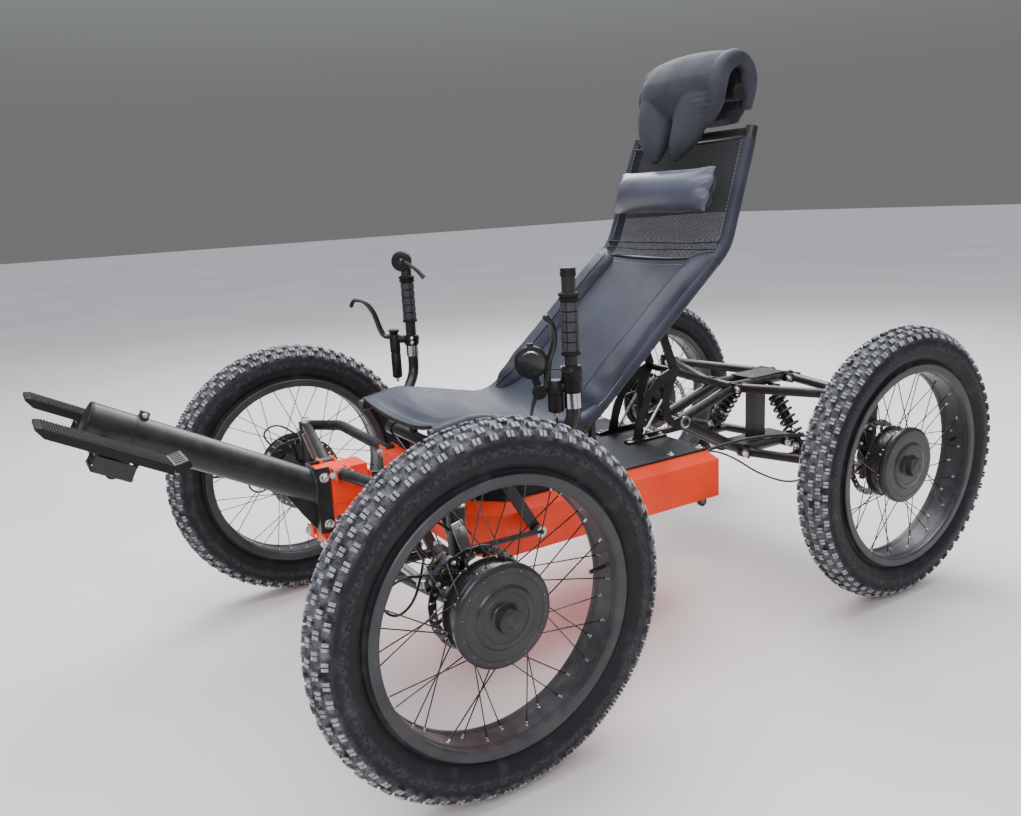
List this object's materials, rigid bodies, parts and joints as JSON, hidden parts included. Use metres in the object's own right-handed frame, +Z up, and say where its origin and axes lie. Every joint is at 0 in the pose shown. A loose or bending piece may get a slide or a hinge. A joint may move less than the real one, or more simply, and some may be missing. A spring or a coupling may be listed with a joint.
{
  "type": "electric recumbent quadricycle",
  "caption": "Recumbent quadricycle: open wheels with hub motors, orange battery case, wishbones, side sticks, reclined seat with headrest and a sliding foot boom.",
  "frame": {"origin": "middle of the whole length and width, on the floor under the tyres", "axes": "+X to the rider's left, +Y to the rear, +Z up"},
  "size_m": [1.214, 2.2192, 1.3767],
  "materials": {
    "tyre_rubber": "matt, dusty lug tops",
    "rim_black": "satin",
    "motor_black": "satin",
    "frame_black": "satin powder coat",
    "case_orange": "gloss powder coat",
    "cell_block": "matt",
    "linkage_steel": "satin",
    "caliper_black": "satin",
    "spring_black": "gloss",
    "grip_rubber": "matt",
    "control_plastic": "satin",
    "seat_leather": "satin",
    "seat_mesh": "open mesh",
    "pillow_knit": "matt knit",
    "caster_rubber": "matt"
  },
  "bodies": {
    "root": {"battery_case": "case_orange", "deck_plate": "frame_black", "battery_pack": "cell_block", "nose_post": "case_orange", "front_keel": "case_orange", "front_stay": "case_orange", "front_frame": "case_orange", "front_upper_arms": "frame_black", "front_lower_arms": "frame_black", "spring_dampers": "spring_black", "boom_mount": "frame_black", "seat_pan_tubes": "frame_black", "seat_back_tubes": "frame_black", "seat_cross_tubes": "frame_black", "seat_supports": "frame_black", "seat_plates": "frame_black", "seat_pan": "seat_leather", "seat_back": "seat_leather", "head_panel": "seat_mesh", "seat_bolsters": "seat_leather", "headrest": "pillow_knit", "roll_pillow": "seat_leather", "rear_frame": "frame_black", "rear_upper_arms": "frame_black", "rear_lower_arms": "frame_black", "rear_uprights": "frame_black", "rear_calipers": "caliper_black"},
    "knuckle_left": {"knuckle_left": "frame_black", "front_caliper_left": "caliper_black"},
    "knuckle_right": {"knuckle_right": "frame_black", "front_caliper_right": "caliper_black"},
    "tie_rod": {"tie_rod": "linkage_steel"},
    "stick_left": {"stick_left": "frame_black", "grip_left": "grip_rubber", "controls_left": "control_plastic"},
    "drag_link_left": {"drag_link_left": "linkage_steel"},
    "stick_right": {"stick_right": "frame_black", "grip_right": "grip_rubber", "controls_right": "control_plastic", "shifter": "control_plastic"},
    "drag_link_right": {"drag_link_right": "linkage_steel"},
    "wheel_front_left": {"tyre_front_left": "tyre_rubber", "rim_front_left": "rim_black", "hub_motor_front_left": "motor_black"},
    "wheel_front_right": {"tyre_front_right": "tyre_rubber", "rim_front_right": "rim_black", "hub_motor_front_right": "motor_black"},
    "wheel_rear_left": {"tyre_rear_left": "tyre_rubber", "rim_rear_left": "rim_black", "hub_motor_rear_left": "motor_black"},
    "wheel_rear_right": {"tyre_rear_right": "tyre_rubber", "rim_rear_right": "rim_black", "hub_motor_rear_right": "motor_black"},
    "boom_extension": {"boom_extension": "frame_black", "foot_platforms": "frame_black"},
    "caster_fork_left": {"caster_fork_left": "linkage_steel"},
    "caster_wheel_left": {"caster_wheel_left": "caster_rubber"},
    "caster_fork_right": {"caster_fork_right": "linkage_steel"},
    "caster_wheel_right": {"caster_wheel_right": "caster_rubber"}
  },
  "joints": [
    {"name": "steer_left", "type": "hinge", "parent": "root", "child": "knuckle_left", "pos_m": [0.42, -0.46739, 0.35], "axis": [0, 0, 1], "range_deg": [-24, 24]},
    {"name": "steer_right", "type": "hinge", "parent": "root", "child": "knuckle_right", "pos_m": [-0.42, -0.46739, 0.35], "axis": [0, 0, 1], "range_deg": [-24, 24]},
    {"name": "tie_rod_pivot", "type": "hinge", "parent": "knuckle_left", "child": "tie_rod", "pos_m": [0.42, -0.54239, 0.378], "axis": [0, 0, 1], "range_deg": [-25, 25]},
    {"name": "stick_left_tilt", "type": "hinge", "parent": "root", "child": "stick_left", "pos_m": [0.28, -0.27789, 0.485], "axis": [1, 0, 0], "range_deg": [-17, 17]},
    {"name": "drag_link_left_pivot", "type": "hinge", "parent": "stick_left", "child": "drag_link_left", "pos_m": [0.283, -0.19789, 0.349], "axis": [1, 0, 0], "range_deg": [-12, 12]},
    {"name": "stick_right_tilt", "type": "hinge", "parent": "root", "child": "stick_right", "pos_m": [-0.28, -0.27789, 0.485], "axis": [1, 0, 0], "range_deg": [-17, 17]},
    {"name": "drag_link_right_pivot", "type": "hinge", "parent": "stick_right", "child": "drag_link_right", "pos_m": [-0.283, -0.19789, 0.349], "axis": [1, 0, 0], "range_deg": [-12, 12]},
    {"name": "wheel_front_left_spin", "type": "hinge", "parent": "knuckle_left", "child": "wheel_front_left", "pos_m": [0.554, -0.46739, 0.35], "axis": [1, 0, 0], "continuous": true},
    {"name": "wheel_front_right_spin", "type": "hinge", "parent": "knuckle_right", "child": "wheel_front_right", "pos_m": [-0.554, -0.46739, 0.35], "axis": [1, 0, 0], "continuous": true},
    {"name": "wheel_rear_left_spin", "type": "hinge", "parent": "root", "child": "wheel_rear_left", "pos_m": [0.479, 0.75961, 0.35], "axis": [1, 0, 0], "continuous": true},
    {"name": "wheel_rear_right_spin", "type": "hinge", "parent": "root", "child": "wheel_rear_right", "pos_m": [-0.479, 0.75961, 0.35], "axis": [1, 0, 0], "continuous": true},
    {"name": "boom_slide", "type": "slide", "parent": "root", "child": "boom_extension", "axis": [0, -0.8796, 0.4756], "range_m": [0, 0.15]},
    {"name": "caster_left_swivel", "type": "hinge", "parent": "root", "child": "caster_fork_left", "pos_m": [0.2, 0.34511, 0.289], "axis": [0, 0, 1], "continuous": true},
    {"name": "caster_left_roll", "type": "hinge", "parent": "caster_fork_left", "child": "caster_wheel_left", "pos_m": [0.2, 0.35311, 0.266], "axis": [1, 0, 0], "continuous": true},
    {"name": "caster_right_swivel", "type": "hinge", "parent": "root", "child": "caster_fork_right", "pos_m": [-0.2, 0.34511, 0.289], "axis": [0, 0, 1], "continuous": true},
    {"name": "caster_right_roll", "type": "hinge", "parent": "caster_fork_right", "child": "caster_wheel_right", "pos_m": [-0.2, 0.35311, 0.266], "axis": [1, 0, 0], "continuous": true}
  ],
  "couplings": [
    {"joint": "steer_right", "follows": "steer_left", "ratio": 1},
    {"joint": "tie_rod_pivot", "follows": "steer_left", "ratio": -1},
    {"joint": "stick_left_tilt", "follows": "steer_left", "ratio": -0.68},
    {"joint": "drag_link_left_pivot", "follows": "steer_left", "ratio": 0.478},
    {"joint": "stick_right_tilt", "follows": "steer_left", "ratio": 0.68},
    {"joint": "drag_link_right_pivot", "follows": "steer_left", "ratio": -0.478}
  ]
}
